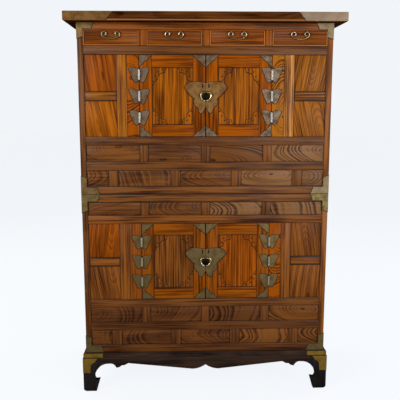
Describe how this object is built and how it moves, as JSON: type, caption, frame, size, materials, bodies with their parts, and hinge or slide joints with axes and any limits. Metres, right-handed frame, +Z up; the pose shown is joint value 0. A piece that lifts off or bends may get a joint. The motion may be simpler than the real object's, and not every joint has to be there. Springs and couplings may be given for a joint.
{
  "type": "two-part cabinet",
  "caption": "Floor-standing cabinet of stacked upper and lower chests with hinged panelled doors, small drawers, butterfly hinges and lock plates, on a scalloped stand with curled feet.",
  "frame": {"origin": "on the floor under the middle of the outer box", "axes": "+X to the viewer's right, +Y from the front to the back, +Z up"},
  "size_m": [1.1284, 0.5062, 1.6],
  "materials": {
    "frame_wood": "oiled brown frame wood",
    "figured_wood": "oiled golden brown wood with strong figure",
    "plain_wood": "bare pale wood inside and at the back",
    "stand_wood": "nearly black stained wood",
    "aged_brass": "dull grey-green brass sheet",
    "bright_metal": "rubbed pale metal"
  },
  "bodies": {
    "lower_chest": {"stand_legs": "stand_wood", "stand_aprons": "stand_wood", "stand_top_frame": "stand_wood", "stand_mounts": "aged_brass", "lower_corner_posts": "frame_wood", "lower_front_frame": "frame_wood", "lower_front_panels": "figured_wood", "lower_sides": "frame_wood", "lower_back": "plain_wood", "lower_inner_boards": "plain_wood", "lower_stile_hinge_leaves": "aged_brass", "lower_corner_mounts": "aged_brass"},
    "upper_chest": {"upper_corner_posts": "frame_wood", "upper_front_frame": "frame_wood", "upper_front_panels": "figured_wood", "upper_sides": "frame_wood", "upper_back": "plain_wood", "upper_inner_boards": "plain_wood", "upper_stile_hinge_leaves": "aged_brass", "upper_corner_mounts": "aged_brass", "drawer_deck": "plain_wood", "top_board": "frame_wood", "top_mounts": "aged_brass"},
    "lower_left_door": {"lower_left_door_frame": "figured_wood", "lower_left_door_panel": "figured_wood", "lower_left_door_corner_mounts": "aged_brass", "lower_left_door_hinge_leaves": "aged_brass", "lower_left_door_lock_plate": "aged_brass"},
    "lower_left_door_pull": {"lower_left_door_pull": "bright_metal"},
    "lower_right_door": {"lower_right_door_frame": "figured_wood", "lower_right_door_panel": "figured_wood", "lower_right_door_corner_mounts": "aged_brass", "lower_right_door_hinge_leaves": "aged_brass", "lower_right_door_lock_plate": "aged_brass"},
    "lower_right_door_pull": {"lower_right_door_pull": "bright_metal"},
    "upper_left_door": {"upper_left_door_frame": "figured_wood", "upper_left_door_panel": "figured_wood", "upper_left_door_corner_mounts": "aged_brass", "upper_left_door_hinge_leaves": "aged_brass", "upper_left_door_lock_plate": "aged_brass"},
    "upper_left_door_pull": {"upper_left_door_pull": "bright_metal"},
    "upper_right_door": {"upper_right_door_frame": "figured_wood", "upper_right_door_panel": "figured_wood", "upper_right_door_corner_mounts": "aged_brass", "upper_right_door_hinge_leaves": "aged_brass", "upper_right_door_lock_plate": "aged_brass"},
    "upper_right_door_pull": {"upper_right_door_pull": "bright_metal"},
    "drawer_1": {"drawer_1": "figured_wood", "drawer_1_eye_bolts": "bright_metal"},
    "drawer_1_bail": {"drawer_1_bail": "bright_metal"},
    "drawer_2": {"drawer_2": "figured_wood", "drawer_2_eye_bolts": "bright_metal"},
    "drawer_2_bail": {"drawer_2_bail": "bright_metal"},
    "drawer_3": {"drawer_3": "figured_wood", "drawer_3_eye_bolts": "bright_metal"},
    "drawer_3_bail": {"drawer_3_bail": "bright_metal"},
    "drawer_4": {"drawer_4": "figured_wood", "drawer_4_eye_bolts": "bright_metal"},
    "drawer_4_bail": {"drawer_4_bail": "bright_metal"}
  },
  "joints": [
    {"name": "upper_chest_lift", "type": "slide", "parent": "lower_chest", "child": "upper_chest", "axis": [0, 0, 1], "range_m": [0, 0.12]},
    {"name": "lower_left_door_hinge", "type": "hinge", "parent": "lower_chest", "child": "lower_left_door", "pos_m": [-0.27125, -0.2103, 0.5765], "axis": [0, 0, -1], "range_deg": [0, 165]},
    {"name": "lower_left_door_pull_hinge", "type": "hinge", "parent": "lower_left_door", "child": "lower_left_door_pull", "pos_m": [-0.0065, -0.2126, 0.5915], "axis": [-1, 0, 0], "range_deg": [0, 85]},
    {"name": "lower_right_door_hinge", "type": "hinge", "parent": "lower_chest", "child": "lower_right_door", "pos_m": [0.27125, -0.2103, 0.5765], "axis": [0, 0, 1], "range_deg": [0, 165]},
    {"name": "lower_right_door_pull_hinge", "type": "hinge", "parent": "lower_right_door", "child": "lower_right_door_pull", "pos_m": [0.0065, -0.2126, 0.5915], "axis": [-1, 0, 0], "range_deg": [0, 85]},
    {"name": "upper_left_door_hinge", "type": "hinge", "parent": "upper_chest", "child": "upper_left_door", "pos_m": [-0.27125, -0.2103, 1.2715], "axis": [0, 0, -1], "range_deg": [0, 165]},
    {"name": "upper_left_door_pull_hinge", "type": "hinge", "parent": "upper_left_door", "child": "upper_left_door_pull", "pos_m": [-0.0065, -0.2126, 1.2865], "axis": [-1, 0, 0], "range_deg": [0, 85]},
    {"name": "upper_right_door_hinge", "type": "hinge", "parent": "upper_chest", "child": "upper_right_door", "pos_m": [0.27125, -0.2103, 1.2715], "axis": [0, 0, 1], "range_deg": [0, 165]},
    {"name": "upper_right_door_pull_hinge", "type": "hinge", "parent": "upper_right_door", "child": "upper_right_door_pull", "pos_m": [0.0065, -0.2126, 1.2865], "axis": [-1, 0, 0], "range_deg": [0, 85]},
    {"name": "drawer_1_slide", "type": "slide", "parent": "upper_chest", "child": "drawer_1", "axis": [0, -1, 0], "range_m": [0, 0.3]},
    {"name": "drawer_1_bail_hinge", "type": "hinge", "parent": "drawer_1", "child": "drawer_1_bail", "pos_m": [-0.38175, -0.2131, 1.526], "axis": [-1, 0, 0], "range_deg": [0, 85]},
    {"name": "drawer_2_slide", "type": "slide", "parent": "upper_chest", "child": "drawer_2", "axis": [0, -1, 0], "range_m": [0, 0.3]},
    {"name": "drawer_2_bail_hinge", "type": "hinge", "parent": "drawer_2", "child": "drawer_2_bail", "pos_m": [-0.12725, -0.2131, 1.526], "axis": [-1, 0, 0], "range_deg": [0, 85]},
    {"name": "drawer_3_slide", "type": "slide", "parent": "upper_chest", "child": "drawer_3", "axis": [0, -1, 0], "range_m": [0, 0.3]},
    {"name": "drawer_3_bail_hinge", "type": "hinge", "parent": "drawer_3", "child": "drawer_3_bail", "pos_m": [0.12725, -0.2131, 1.526], "axis": [-1, 0, 0], "range_deg": [0, 85]},
    {"name": "drawer_4_slide", "type": "slide", "parent": "upper_chest", "child": "drawer_4", "axis": [0, -1, 0], "range_m": [0, 0.3]},
    {"name": "drawer_4_bail_hinge", "type": "hinge", "parent": "drawer_4", "child": "drawer_4_bail", "pos_m": [0.38175, -0.2131, 1.526], "axis": [-1, 0, 0], "range_deg": [0, 85]}
  ]
}
